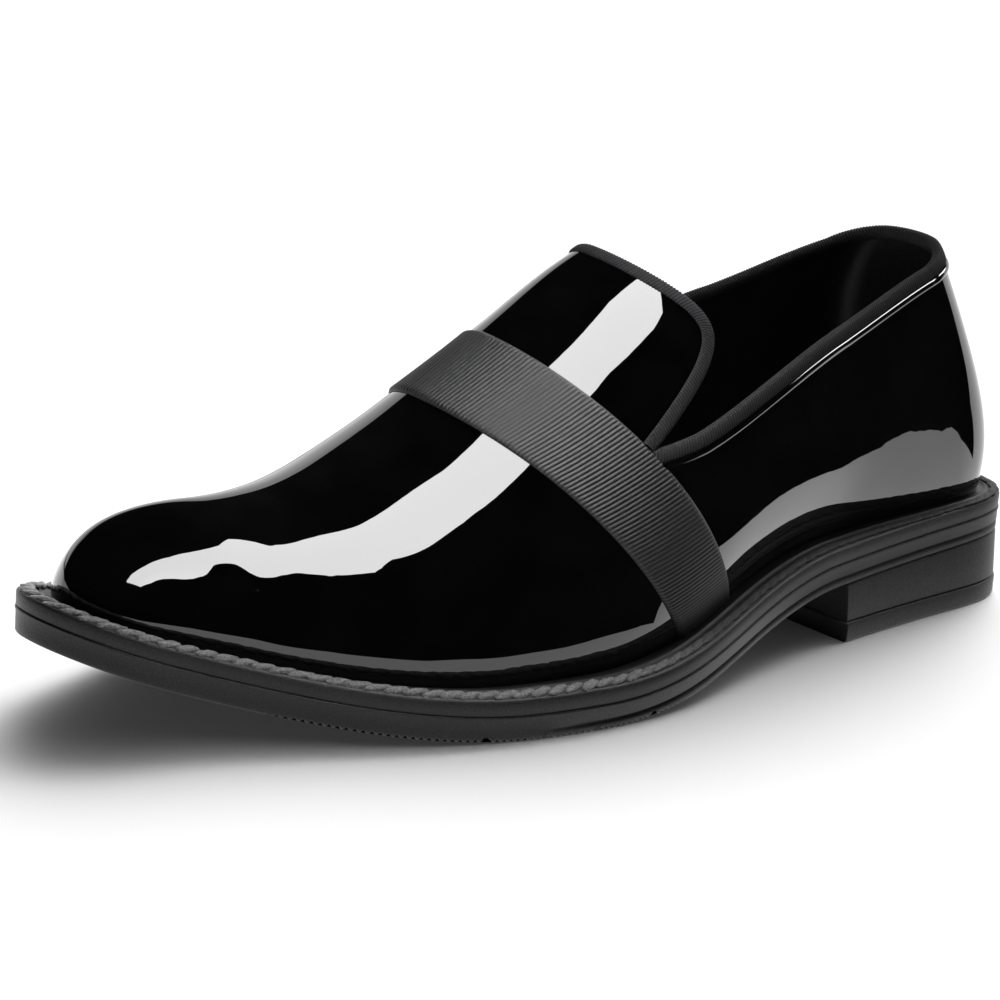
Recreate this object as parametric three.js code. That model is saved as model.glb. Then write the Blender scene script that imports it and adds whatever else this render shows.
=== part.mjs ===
import * as THREE from 'three';

// Tuxedo loafer, left shoe. Millimetres, +X to the toe, +Y to the outer side, +Z up, floor at Z = 0.

// Overall sizes
const length = 305;          // sole, heel to toe
const ballWidth = 107;       // sole, across the ball
const instepHeight = 86;     // welt to the highest line of the instep
const collarHeight = 70;     // welt to the top line at the heel
const toeSpring = 23;        // lift of the sole at the toe tip

// Sole unit
const topLiftThickness = 5.6;
const heelRise = 16.4;       // underside of the outsole at the heel breast
const heelSlope = 0.043;     // the seat climbs this much for each millimetre back
const heelBreast = 78;       // heel back to the front face of the heel
const heelFlare = 1.3;       // the heel widens by this much at the floor
const blockFlareShare = 0.7; // of the flare, at the foot of the heel block
const outsoleThickness = 6.6;
const randHeight = 2.3;      // underside of the outsole up to its side groove
const grooveDepth = 0.8;
const grooveWidth = 1;
const edgeChamfer = 0.7;
const partingLip = 0.4;      // the outsole's top edge stands out by this much
const weltThickness = 4.3;
const stitchHeight = 1.1;    // moulded stitch rib on the welt
const beadHeight = 0.5;      // bead between the stitch rib and the upper
const treadStartDistance = 180;   // the forepart is flat on the floor between these two
const treadEndDistance = 202;
const waistEase = 1.06;
const springEase = 1.85;

// Seat of the upper, inside the sole's edge
const marginSide = 10.1;
const marginToe = 8.9;
const marginHeel = 6.1;
const forepartShare = 0.66;  // of the length: the rand's groove ends and the toe's margin begins
const grooveFade = 0.1;      // of the length: the groove runs out over this
const heelShare = 0.26;      // of the length: the heel's margin begins
const heelMarginRun = 0.2;   // of the length: it is reached over this
const toeMarginRun = 0.26;
const toeMarginEase = 1.5;

// Ends of the plan outline
const heelRound = 36;
const heelSquareness = 4.3;
const collarSquareness = 2.2;   // the heel is rounder at the top line
const toeRound = 22;
const toeSquareness = 2.08;
const toeBoxRound = 36;      // the toe box rolls down over this length
const toeBoxSquareness = 2.4;

// Upper, strap and trims
const wall = 1.8;
const insoleThickness = 3.5;
const insoleEdgeShare = 0.6; // of its thickness, below its bevelled edge
const insoleBevel = 1;
const notchDistance = 154.5;   // heel back to the V where collar and tongue meet
const tongueReach = 30;      // the V back to the farthest corner of the tongue
const bindingWidth = 4;
const bindingThickness = 2.6;
const notchSetBack = 1.6;    // the leather's V lies this many binding widths ahead
const collarBindingGap = 5;  // the collar's binding ends this far behind the V
const strapWidth = 23.5;
const strapThickness = 1.1;
const strapFootDistance = 147;   // heel back to the strap's front edge at the welt
const strapSweep = 50;       // the strap's front edge runs forward by this much to the instep
const backstayWidth = 11;
const backstayHeight = 27;
const backstayThickness = 0.8;

const fit = 0.3;             // clearance between pieces that touch
const heartShare = { x: 0.45, z: 0.3 };   // of the length and the collar height: a point inside

// Plan of the sole: at is a share of the length, half of half the ball width, shift of the ball width
const planTable = [
  { at: 0.00, half: 0.643, shift: -0.004 },
  { at: 0.12, half: 0.680, shift: 0.000 },
  { at: 0.25, half: 0.711, shift: 0.022 },
  { at: 0.38, half: 0.789, shift: 0.056 },
  { at: 0.50, half: 0.940, shift: 0.069 },
  { at: 0.60, half: 1.000, shift: 0.041 },
  { at: 0.68, half: 0.992, shift: 0.001 },
  { at: 0.78, half: 0.843, shift: -0.047 },
  { at: 0.88, half: 0.596, shift: -0.092 },
  { at: 1.00, half: 0.345, shift: -0.108 },
];

// Top of the welt from its edge inward: inset is a share of the margin, rib and bead of their heights
const weltTopTable = [
  { inset: 0.17, rib: 0, bead: 0 },
  { inset: 0.25, rib: 1, bead: 0 },
  { inset: 0.46, rib: 1, bead: 0 },
  { inset: 0.55, rib: 0, bead: 0 },
  { inset: 0.66, rib: 0, bead: 1 },
  { inset: 0.74, rib: 0, bead: 0 },
];

// Sections of the upper: height is a share of the instep height, ridge of the ball width.
// The side stands out by bulge. Its lower pull is at low, its upper pull at crown across and shoulder up.
const sectionTable = [
  { at: 0.000, height: 1.000, bulge: 0.095, low: 0.315, crown: 0.860, shoulder: 0.757, ridge: 0.000 },
  { at: 0.118, height: 1.023, bulge: 0.113, low: 0.335, crown: 0.886, shoulder: 0.785, ridge: -0.002 },
  { at: 0.230, height: 1.052, bulge: 0.130, low: 0.360, crown: 0.898, shoulder: 0.836, ridge: -0.009 },
  { at: 0.328, height: 1.068, bulge: 0.138, low: 0.372, crown: 0.840, shoulder: 0.940, ridge: -0.026 },
  { at: 0.410, height: 1.064, bulge: 0.110, low: 0.368, crown: 0.735, shoulder: 1.000, ridge: -0.047 },
  { at: 0.492, height: 1.000, bulge: 0.074, low: 0.347, crown: 0.645, shoulder: 1.000, ridge: -0.064 },
  { at: 0.590, height: 0.820, bulge: 0.052, low: 0.334, crown: 0.565, shoulder: 1.000, ridge: -0.067 },
  { at: 0.689, height: 0.620, bulge: 0.043, low: 0.356, crown: 0.510, shoulder: 1.000, ridge: -0.066 },
  { at: 0.787, height: 0.457, bulge: 0.046, low: 0.360, crown: 0.440, shoulder: 1.000, ridge: -0.068 },
  { at: 0.885, height: 0.372, bulge: 0.053, low: 0.330, crown: 0.360, shoulder: 1.000, ridge: -0.072 },
  { at: 0.984, height: 0.300, bulge: 0.056, low: 0.310, crown: 0.300, shoulder: 1.000, ridge: -0.076 },
];

// Lean of the heel's back line: at and lean are shares of the collar height
const heelLeanTable = [
  { at: 0.0, lean: 0.000 },
  { at: 0.2, lean: 0.016 },
  { at: 0.4, lean: 0.063 },
  { at: 0.6, lean: 0.124 },
  { at: 0.8, lean: 0.173 },
  { at: 1.0, lean: 0.197 },
];

// Top line: at is a share of the length, height of the collar height
const collarTable = [
  { at: 0.020, height: 1.000 },
  { at: 0.118, height: 0.950 },
  { at: 0.230, height: 0.842 },
  { at: 0.344, height: 0.765 },
  { at: 0.459, height: 0.715 },
];

// Edge of the tongue from the V to the ridge: back is a share of the tongue's reach.
// The last row mirrors the far side, so that the edge crosses the ridge smoothly.
const tongueTable = [
  { at: 0.00, back: 0.00 },
  { at: 0.10, back: 0.56 },
  { at: 0.22, back: 0.88 },
  { at: 0.34, back: 0.90 },
  { at: 0.50, back: 0.76 },
  { at: 0.75, back: 0.56 },
  { at: 1.00, back: 0.50 },
  { at: 1.25, back: 0.56 },
];

// Front edge of the strap from the welt to the ridge: sweep is a share of the strap's sweep.
// The last row mirrors the far side.
const strapTable = [
  { at: 0.00, sweep: 0.00 },
  { at: 0.33, sweep: 0.44 },
  { at: 0.67, sweep: 0.84 },
  { at: 1.00, sweep: 1.00 },
  { at: 1.33, sweep: 0.84 },
];

// Facet counts
const soleStations = 42;
const heelStations = 16;
const heelRibs = 6;
const quarterRibs = 11;
const vampRibs = 21;
const lowRows = 8;
const highRows = 14;
const highRowEase = 1.5;
const tongueColumns = 4;
const edgeSamples = 24;
const beadCorners = 8;
const tongueBindingRow = 3;  // the row above the V where the tongue's binding starts
const strapRows = 34;
const strapColumns = 4;
const backstayColumns = 3;
const backstayRows = 8;
const outlineSamples = 400;
const pointsPerMillimetre = 2000;   // points closer than this are one

// Helpers for numbers

function clamp(value, low, high) {
  return Math.min(Math.max(value, low), high);
}

function mix(from, to, share) {
  return from + (to - from) * share;
}

function smooth(share) {
  return share * share * (3 - 2 * share);
}

// Natural cubic through one column of a table, over its column at.
function curve(table, column) {
  const u = table.map((row) => row.at);
  const v = table.map((row) => row[column]);
  const last = table.length - 1;
  const bend = new Array(last + 1).fill(0);
  const pull = new Array(last + 1).fill(0);
  for (let i = 1; i < last; i += 1) {
    const share = (u[i] - u[i - 1]) / (u[i + 1] - u[i - 1]);
    const pivot = share * bend[i - 1] + 2;
    const turn = (v[i + 1] - v[i]) / (u[i + 1] - u[i]) - (v[i] - v[i - 1]) / (u[i] - u[i - 1]);
    bend[i] = (share - 1) / pivot;
    pull[i] = ((6 * turn) / (u[i + 1] - u[i - 1]) - share * pull[i - 1]) / pivot;
  }
  bend[last] = 0;
  for (let i = last - 1; i >= 0; i -= 1) {
    bend[i] = bend[i] * bend[i + 1] + pull[i];
  }
  return (at) => {
    let i = 0;
    while (i < last - 1 && at > u[i + 1]) i += 1;
    const step = u[i + 1] - u[i];
    const far = clamp((at - u[i]) / step, 0, 1);
    const near = 1 - far;
    const sag = ((near ** 3 - near) * bend[i] + (far ** 3 - far) * bend[i + 1]) * step * step / 6;
    return near * v[i] + far * v[i + 1] + sag;
  };
}

function bezier(a, b, c, d, t) {
  const s = 1 - t;
  return s * s * s * a + 3 * s * s * t * b + 3 * s * t * t * c + t * t * t * d;
}

// Plan and levels of the sole

const planHalf = curve(planTable, 'half');
const planShift = curve(planTable, 'shift');

function centreY(x) {
  return ballWidth * planShift(x / length);
}

function fullHalf(x) {
  return (ballWidth / 2) * planHalf(x / length);
}

// Rounding of a plan outline that runs from back to front.
function roundEnds(x, back, front, backRound, frontRound) {
  const q = clamp((back + backRound - x) / backRound, 0, 1);
  const p = clamp((x - front + frontRound) / frontRound, 0, 1);
  const heel = (1 - q ** heelSquareness) ** (1 / heelSquareness);
  const toe = (1 - p ** toeSquareness) ** (1 / toeSquareness);
  return heel * toe;
}

function soleBottom(x) {
  if (x < heelBreast) return heelRise + (heelBreast - x) * heelSlope;
  if (x < treadStartDistance) {
    const share = (treadStartDistance - x) / (treadStartDistance - heelBreast);
    return heelRise * smooth(share ** waistEase);
  }
  if (x <= treadEndDistance) return 0;
  return toeSpring * ((x - treadEndDistance) / (length - treadEndDistance)) ** springEase;
}

function weltTop(x) {
  return soleBottom(x) + outsoleThickness + weltThickness;
}

function margin(x) {
  const toe = clamp((x / length - forepartShare) / toeMarginRun, 0, 1) ** toeMarginEase;
  const heel = clamp((heelShare - x / length) / heelMarginRun, 0, 1);
  return marginSide + (marginToe - marginSide) * toe + (marginHeel - marginSide) * heel;
}

// Upper as a surface: side 1 is the outer side and -1 the inner, t runs from the welt to the ridge

const sectionHeight = curve(sectionTable, 'height');
const sectionBulge = curve(sectionTable, 'bulge');
const sectionLow = curve(sectionTable, 'low');
const sectionCrown = curve(sectionTable, 'crown');
const sectionShoulder = curve(sectionTable, 'shoulder');
const sectionRidge = curve(sectionTable, 'ridge');
const heelLean = curve(heelLeanTable, 'lean');
const collarCurve = curve(collarTable, 'height');
const tongueCurve = curve(tongueTable, 'back');
const strapCurve = curve(strapTable, 'sweep');

const toeEnd = length - marginToe;
const heelPivot = heelRound;

// Half width of the upper's seat, less an inset.
function seatHalf(x, inset) {
  const back = marginHeel + inset;
  const front = toeEnd - inset;
  const heel = heelPivot - back;
  const toe = toeRound - marginToe - inset / 2;
  return roundEnds(x, back, front, heel, toe) * (fullHalf(x) - margin(x) - inset);
}

function sideSkin(side, x, t) {
  const at = x / length;
  const toward = clamp((toeEnd - x) / toeBoxRound, 0, 1);
  const roll = (1 - (1 - toward) ** toeBoxSquareness) ** (1 / toeBoxSquareness);
  const ridge = mix(centreY(toeEnd), ballWidth * sectionRidge(at), smooth(toward));
  const height = instepHeight * sectionHeight(at) * roll;
  const half = seatHalf(x, 0) + side * (centreY(x) - ridge);
  const crown = half * sectionCrown(at);
  const y = bezier(half, half * (1 + 3 * sectionBulge(at)), crown, 0, t);
  const z = bezier(0, height * sectionLow(at), height * sectionShoulder(at), height, t);
  return new THREE.Vector3(x, ridge + side * y, weltTop(x) + fit + z);
}

// Back of the heel: turn is 0 at the pivot's section and a quarter turn at the back line.
function heelSkin(side, turn, t) {
  const flank = sideSkin(side, heelPivot, t);
  const rise = flank.z - weltTop(heelPivot) - fit;
  const lean = collarHeight * heelLean(clamp(rise / collarHeight, 0, 1));
  const spread = 2 / mix(heelSquareness, collarSquareness, clamp(rise / collarHeight, 0, 1));
  const backX = marginHeel + lean;
  const ridge = ballWidth * sectionRidge(heelPivot / length);
  const x = heelPivot - (heelPivot - backX) * Math.sin(turn) ** spread;
  const y = ridge + (flank.y - ridge) * Math.max(Math.cos(turn), 0) ** spread;
  return new THREE.Vector3(x, y, flank.z + heelSlope * (heelPivot - x));
}

// A rib is a function of t at one station of the upper.
function ribAt(side, station) {
  if (station.turn > 0) return (t) => heelSkin(side, station.turn, t);
  return (t) => sideSkin(side, station.x, t);
}

// The t at which a rib has climbed by this height.
function levelAt(rib, height) {
  const start = rib(0).z;
  let low = 0;
  let high = 1;
  for (let i = 0; i < edgeSamples; i += 1) {
    const middle = (low + high) / 2;
    if (rib(middle).z - start < height) low = middle;
    else high = middle;
  }
  return (low + high) / 2;
}

// Height of the top line over the welt; setBack 1 is the edge of the leather under the binding.
function collarLevel(x, setBack) {
  return collarHeight * collarCurve(x / length) - setBack * bindingWidth;
}

function notchX(setBack) {
  return notchDistance + notchSetBack * setBack * bindingWidth;
}

function notchLevel(setBack) {
  const x = notchX(setBack);
  return levelAt((t) => sideSkin(1, x, t), collarLevel(x, setBack));
}

function tongueEdge(s, setBack) {
  const front = mix(notchX(setBack), notchDistance + setBack * bindingWidth, s);
  return { x: front - tongueReach * tongueCurve(s), t: mix(notchLevel(setBack), 1, s) };
}

// Closed bodies

// Corner points and triangles, with equal points shared.
class Mould {
  constructor() {
    this.points = [];
    this.faces = [];
    this.known = new Map();
  }

  point(p) {
    const key = [p.x, p.y, p.z].map((v) => Math.round(v * pointsPerMillimetre)).join();
    if (!this.known.has(key)) {
      this.known.set(key, this.points.length);
      this.points.push(p.clone());
    }
    return this.known.get(key);
  }

  triangle(a, b, c) {
    if (a !== b && b !== c && c !== a) this.faces.push([a, b, c]);
  }

  quad(a, b, c, d) {
    this.triangle(a, b, c);
    this.triangle(a, c, d);
  }

  grid(rows) {
    const ids = rows.map((row) => row.map((p) => this.point(p)));
    for (let i = 0; i + 1 < ids.length; i += 1) {
      for (let j = 0; j + 1 < ids[i].length; j += 1) {
        this.quad(ids[i][j], ids[i + 1][j], ids[i + 1][j + 1], ids[i][j + 1]);
      }
    }
  }

  // Turns every triangle so that the sheet faces away from a point inside the shoe.
  faceAwayFrom(heart) {
    let sum = 0;
    for (const [a, b, c] of this.faces) {
      const p = this.points[a].clone().sub(heart);
      const u = this.points[b].clone().sub(this.points[a]);
      sum += u.cross(this.points[c].clone().sub(this.points[a])).dot(p);
    }
    if (sum < 0) this.faces.forEach((face) => face.reverse());
  }

  normals() {
    const sums = this.points.map(() => new THREE.Vector3());
    for (const [a, b, c] of this.faces) {
      const p = this.points[a];
      const u = this.points[b].clone().sub(p);
      const face = u.cross(this.points[c].clone().sub(p));
      for (const id of [a, b, c]) sums[id].add(face);
    }
    return sums.map((n) => n.normalize());
  }

  volume() {
    let sum = 0;
    for (const [a, b, c] of this.faces) {
      sum += this.points[a].dot(this.points[b].clone().cross(this.points[c]));
    }
    return sum / 6;
  }
}

// A sheet given a wall: its outer face lies at outside and its inner face at inside along the normals.
// Points on the welt stay on it, and no point sinks below it.
function thicken(sheet, outside, inside) {
  const body = new Mould();
  const heartX = heartShare.x * length;
  sheet.faceAwayFrom(new THREE.Vector3(heartX, 0, weltTop(heartX) + heartShare.z * collarHeight));
  const normals = sheet.normals();
  const moved = (p, normal, offset) => {
    const q = p.clone().addScaledVector(normal, offset);
    const low = weltTop(q.x) + fit;
    if (p.z - weltTop(p.x) < 1.01 * fit || q.z < low) q.z = low;
    return q;
  };
  const shell = (offset) => {
    return sheet.points.map((p, i) => body.points.push(moved(p, normals[i], offset)) - 1);
  };
  const outer = shell(outside);
  const inner = shell(inside);
  const edges = new Set();
  for (const face of sheet.faces) {
    const [a, b, c] = face;
    body.triangle(outer[a], outer[b], outer[c]);
    body.triangle(inner[c], inner[b], inner[a]);
    for (let i = 0; i < 3; i += 1) edges.add(`${face[i]},${face[(i + 1) % 3]}`);
  }
  for (const key of edges) {
    const [a, b] = key.split(',').map(Number);
    if (!edges.has(`${b},${a}`)) body.quad(outer[b], outer[a], inner[a], inner[b]);
  }
  return body;
}

// A stack of closed rings of equal count, each ring a ladder from one end of the shoe to the other.
function stack(rings) {
  const body = new Mould();
  const count = rings[0].length;
  body.grid(rings.map((ring) => [...ring, ring[0]]));
  const cap = (ring, flip) => {
    const id = ring.map((p) => body.point(p));
    for (let i = 1; i < count / 2; i += 1) {
      const corners = [id[i - 1], id[i], id[count - i], id[(count - i + 1) % count]];
      if (flip) corners.reverse();
      body.quad(...corners);
    }
    const middle = Math.floor(count / 2);
    if (count % 2 === 0) {
      const tip = [id[middle - 1], id[middle], id[middle + 1]];
      if (flip) tip.reverse();
      body.triangle(...tip);
    }
  };
  cap(rings[0], false);
  cap(rings[rings.length - 1], true);
  return body;
}

// An oval bead along a path of frames, closed at both ends.
function bead(frames, thickness, width, corners) {
  const body = new Mould();
  const rings = frames.map((frame) => {
    const ring = [];
    for (let i = 0; i < corners; i += 1) {
      const turn = (2 * Math.PI * i) / corners;
      const p = frame.centre.clone();
      p.addScaledVector(frame.normal, (Math.cos(turn) * thickness) / 2);
      ring.push(p.addScaledVector(frame.across, (Math.sin(turn) * width) / 2));
    }
    return ring;
  });
  body.grid(rings.map((ring) => [...ring, ring[0]]));
  const lid = (ring, flip) => {
    const id = ring.map((p) => body.point(p));
    for (let i = 1; i + 1 < corners; i += 1) {
      if (flip) body.triangle(id[0], id[i + 1], id[i]);
      else body.triangle(id[0], id[i], id[i + 1]);
    }
  };
  lid(rings[0], false);
  lid(rings[rings.length - 1], true);
  return body;
}

// Rings of the sole

// Stations from back to front, close together at both ends.
function stations(back, front, count) {
  const list = [];
  for (let i = 0; i <= count; i += 1) {
    list.push(mix(back, front, (1 - Math.cos((Math.PI * i) / count)) / 2));
  }
  return list;
}

// Stations of the sole, with none inside the flat tread but its two ends.
function soleXs() {
  const xs = stations(0, length, soleStations);
  const behind = xs.filter((x) => x < treadStartDistance);
  const ahead = xs.filter((x) => x > treadEndDistance);
  return [...behind, treadStartDistance, treadEndDistance, ...ahead];
}

// The sole's outline as a closed ring, moved inward by inset(x) and lifted to level(x).
function soleRing(inset, level) {
  const xs = soleXs();
  const rim = xs.map((x) => new THREE.Vector2(x, centreY(x) + soleHalf(x)));
  const inner = xs.slice(1, -1).reverse();
  for (const x of inner) rim.push(new THREE.Vector2(x, centreY(x) - soleHalf(x)));
  return insetRing(rim, inset, level);
}

function soleHalf(x) {
  return fullHalf(x) * roundEnds(x, 0, length, heelRound, toeRound);
}

function insetRing(rim, inset, level) {
  const count = rim.length;
  return rim.map((p, i) => {
    const along = rim[(i + 1) % count].clone().sub(rim[(i + count - 1) % count]).normalize();
    const depth = inset(p.x);
    const x = p.x + along.y * depth;
    return new THREE.Vector3(x, p.y - along.x * depth, level(x));
  });
}

// The seat of the upper as a ring, less an inset.
function seatRing(inset, level) {
  const xs = stations(marginHeel + inset, toeEnd - inset, soleStations);
  const ring = xs.map((x) => new THREE.Vector3(x, centreY(x) + seatEdge(x, inset), level(x)));
  const back = xs.slice(1, -1).reverse();
  for (const x of back) ring.push(new THREE.Vector3(x, centreY(x) - seatEdge(x, inset), level(x)));
  return ring;
}

function seatEdge(x, inset) {
  return Math.max(seatHalf(x, inset), 0);
}

function still(value) {
  return () => value;
}

// Pieces of the sole unit

function makeOutsole() {
  const groove = (x) => grooveDepth * smooth(clamp((forepartShare - x / length) / grooveFade, 0, 1));
  const at = (height) => (x) => soleBottom(x) + height;
  return stack([
    soleRing(still(edgeChamfer), at(0)),
    soleRing(still(0), at(edgeChamfer)),
    soleRing(still(0), at(randHeight - grooveWidth / 2)),
    soleRing(groove, at(randHeight)),
    soleRing(still(0), at(randHeight + grooveWidth / 2)),
    soleRing(still(0), at(outsoleThickness - 3 * partingLip)),
    soleRing(still(-partingLip), at(outsoleThickness - 2 * partingLip)),
    soleRing(still(-partingLip), at(outsoleThickness)),
  ]);
}

function makeWelt() {
  const above = (height) => (x) => soleBottom(x) + outsoleThickness + height;
  const ribs = weltTopTable.map((row) => {
    return soleRing(
      (x) => margin(x) * row.inset,
      above(weltThickness + stitchHeight * row.rib + beadHeight * row.bead),
    );
  });
  return stack([
    soleRing(still(0), above(fit)),
    soleRing(still(0), above(weltThickness - edgeChamfer)),
    soleRing(still(edgeChamfer), above(weltThickness)),
    ...ribs,
  ]);
}

// The heel's outline up to its breast, as a closed ring.
function heelRing(outset, level) {
  const count = heelStations;
  const xs = [];
  for (let i = 0; i <= count; i += 1) {
    xs.push(heelBreast * (1 - Math.cos((Math.PI * i) / (2 * count))));
  }
  const rim = xs.map((x) => new THREE.Vector2(x, centreY(x) + soleHalf(x)));
  const inner = xs.slice(1).reverse();
  for (const x of inner) rim.push(new THREE.Vector2(x, centreY(x) - soleHalf(x)));
  const ring = insetRing(rim, still(-outset), level);
  for (const i of [count, count + 1]) {
    const side = i === count ? 1 : -1;
    const y = centreY(heelBreast) + side * (soleHalf(heelBreast) + outset);
    ring[i] = new THREE.Vector3(heelBreast, y, level(heelBreast));
  }
  return ring;
}

function makeHeelBlock() {
  const flare = heelFlare * blockFlareShare;
  const top = (x) => soleBottom(x) - fit;
  return stack([
    heelRing(flare - edgeChamfer / 2, still(topLiftThickness + fit)),
    heelRing(flare, still(topLiftThickness + fit + edgeChamfer / 2)),
    heelRing(0, (x) => top(x) - edgeChamfer),
    heelRing(-edgeChamfer, top),
  ]);
}

function makeTopLift() {
  return stack([
    heelRing(heelFlare - edgeChamfer, still(0)),
    heelRing(heelFlare, still(edgeChamfer)),
    heelRing(heelFlare, still(topLiftThickness - edgeChamfer / 2)),
    heelRing(heelFlare - edgeChamfer / 2, still(topLiftThickness)),
  ]);
}

function makeInsole() {
  const above = (height) => (x) => weltTop(x) + fit + height;
  const inset = wall + 3 * fit;
  return stack([
    seatRing(inset, above(0)),
    seatRing(inset, above(insoleThickness * insoleEdgeShare)),
    seatRing(inset + insoleBevel, above(insoleThickness)),
  ]);
}

// Upper

// Share of a row between the V and the ridge, closer together near the V.
function highShare(j) {
  return (j / highRows) ** highRowEase;
}

// Stations of the ribs from the back line to the V.
function rearStations() {
  const list = [];
  for (let i = 0; i < heelRibs; i += 1) {
    list.push({ turn: (Math.PI / 2) * (1 - i / heelRibs), x: heelPivot });
  }
  for (let i = 0; i <= quarterRibs; i += 1) {
    list.push({ turn: 0, x: mix(heelPivot, notchX(1), i / quarterRibs) });
  }
  return list;
}

function topLevel(side, station, setBack) {
  const rib = ribAt(side, station);
  const foot = rib(0).x;
  return levelAt(rib, collarLevel(foot, setBack));
}

// Points of a rib from the welt up to a t.
function lowRow(rib, top) {
  return Array.from({ length: lowRows + 1 }, (_, j) => rib((top * j) / lowRows));
}

function upperSide(sheet, side) {
  const rows = [];
  for (const station of rearStations()) {
    const rib = ribAt(side, station);
    const top = station.x >= notchX(1) ? notchLevel(1) : topLevel(side, station, 1);
    rows.push(lowRow(rib, top));
  }
  const low = notchLevel(1);
  const vamp = [];
  for (let i = 0; i <= vampRibs; i += 1) {
    const x = mix(notchX(1), toeEnd, Math.sin((Math.PI * i) / (2 * vampRibs)));
    const row = lowRow((t) => sideSkin(side, x, t), low);
    for (let j = 1; j <= highRows; j += 1) row.push(sideSkin(side, x, mix(low, 1, highShare(j))));
    vamp.push(row);
  }
  const tongue = [];
  for (let i = 0; i <= tongueColumns; i += 1) {
    const row = [];
    for (let j = 0; j <= highRows; j += 1) {
      const edge = tongueEdge(highShare(j), 1);
      row.push(sideSkin(side, mix(edge.x, notchX(1), i / tongueColumns), edge.t));
    }
    tongue.push(row);
  }
  for (const part of [rows, vamp, tongue]) {
    if (side < 0) part.reverse();
    sheet.grid(part);
  }
}

function makeUpper() {
  const sheet = new Mould();
  upperSide(sheet, 1);
  upperSide(sheet, -1);
  return thicken(sheet, 0, -wall);
}

// Outward normal of the skin at one point of a side.
function skinNormal(side, station, t) {
  const step = 0.004;
  const low = Math.max(t - step, 0);
  const high = Math.min(t + step, 1);
  const rib = ribAt(side, station);
  const up = rib(high).sub(rib(low));
  const ahead = { turn: Math.max(station.turn - step, 0), x: station.x + (station.turn > 0 ? 0 : 1) };
  const behind = { turn: station.turn + step, x: station.x };
  const here = station.turn > 0 ? ribAt(side, behind)(t) : rib(t);
  const along = ribAt(side, ahead)(t).sub(here);
  return up.cross(along).multiplyScalar(side).normalize();
}

// Frames of a bead that sits on an edge of the wall, half a binding beyond the leather.
// Beyond is 1 where the opening lies left of the path, seen from outside, and -1 where it lies right.
function edgeFrames(places, beyond) {
  const spots = places.map((place) => {
    const normal = skinNormal(place.side, place.station, place.t);
    const edge = ribAt(place.side, place.station)(place.t).addScaledVector(normal, -wall / 2);
    return { edge, normal };
  });
  return spots.map((spot, i) => {
    const before = spots[Math.max(i - 1, 0)].edge;
    const after = spots[Math.min(i + 1, spots.length - 1)].edge;
    const along = after.clone().sub(before).normalize();
    const across = spot.normal.clone().cross(along).normalize();
    const centre = spot.edge.clone().addScaledVector(across, (beyond * bindingWidth) / 2);
    return { centre, normal: along.cross(across).normalize(), across };
  });
}

function binding(half, beyond) {
  const places = [...half(1), ...half(-1).reverse().slice(1)];
  return bead(edgeFrames(places, beyond), bindingThickness, bindingWidth - 2 * fit, beadCorners);
}

function makeCollarBinding() {
  const end = { turn: 0, x: notchDistance - collarBindingGap };
  return binding((side) => {
    const list = rearStations().filter((station) => station.x < end.x - bindingWidth);
    return [end, ...list.reverse()].map((station) => {
      return { side, station, t: topLevel(side, station, 1) };
    });
  }, 1);
}

function makeTongueBinding() {
  return binding((side) => {
    const list = [];
    for (let j = tongueBindingRow; j <= highRows; j += 1) {
      const edge = tongueEdge(highShare(j), 1);
      list.push({ side, station: { turn: 0, x: edge.x }, t: edge.t });
    }
    return list;
  }, -1);
}

function makeStrap() {
  const sheet = new Mould();
  for (const side of [1, -1]) {
    const rows = [];
    for (let i = 0; i <= strapRows; i += 1) {
      const t = i / strapRows;
      const front = strapFootDistance + strapSweep * strapCurve(t);
      const row = [];
      for (let j = 0; j <= strapColumns; j += 1) {
        row.push(sideSkin(side, front - (strapWidth * j) / strapColumns, t));
      }
      rows.push(row);
    }
    if (side < 0) rows.reverse();
    sheet.grid(rows);
  }
  return thicken(sheet, fit + strapThickness, fit);
}

// The turn at which the heel is this far from its back line, at one height.
function turnAtWidth(side, height, width) {
  let low = 0;
  let high = Math.PI / 2;
  for (let i = 0; i < edgeSamples; i += 1) {
    const middle = (low + high) / 2;
    const rib = (t) => heelSkin(side, middle, t);
    const y = Math.abs(rib(levelAt(rib, height)).y - heelSkin(side, Math.PI / 2, 0).y);
    if (y > width) low = middle;
    else high = middle;
  }
  return (low + high) / 2;
}

function makeBackstay() {
  const sheet = new Mould();
  const top = collarHeight - bindingWidth - 2 * fit;
  const rows = [];
  for (let j = -backstayColumns; j <= backstayColumns; j += 1) {
    const side = j < 0 ? -1 : 1;
    const row = [];
    for (let i = 0; i <= backstayRows; i += 1) {
      const height = top - (backstayHeight * i) / backstayRows;
      const turn = turnAtWidth(side, height, (Math.abs(j) / backstayColumns) * (backstayWidth / 2));
      const rib = (t) => heelSkin(side, turn, t);
      row.push(rib(levelAt(rib, height)));
    }
    rows.push(row);
  }
  sheet.grid(rows);
  return thicken(sheet, fit + backstayThickness, fit);
}

// Assembly

function mesh(name, body, color, roughness) {
  const inward = body.volume() < 0;
  const index = body.faces.flatMap(([a, b, c]) => (inward ? [a, c, b] : [a, b, c]));
  const geometry = new THREE.BufferGeometry();
  const position = body.points.flatMap((p) => [p.x, p.y, p.z]);
  geometry.setAttribute('position', new THREE.Float32BufferAttribute(position, 3));
  geometry.setIndex(index);
  geometry.computeVertexNormals();
  const material = new THREE.MeshStandardMaterial({ color, roughness, metalness: 0 });
  const piece = new THREE.Mesh(geometry, material);
  piece.name = name;
  return piece;
}

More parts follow.
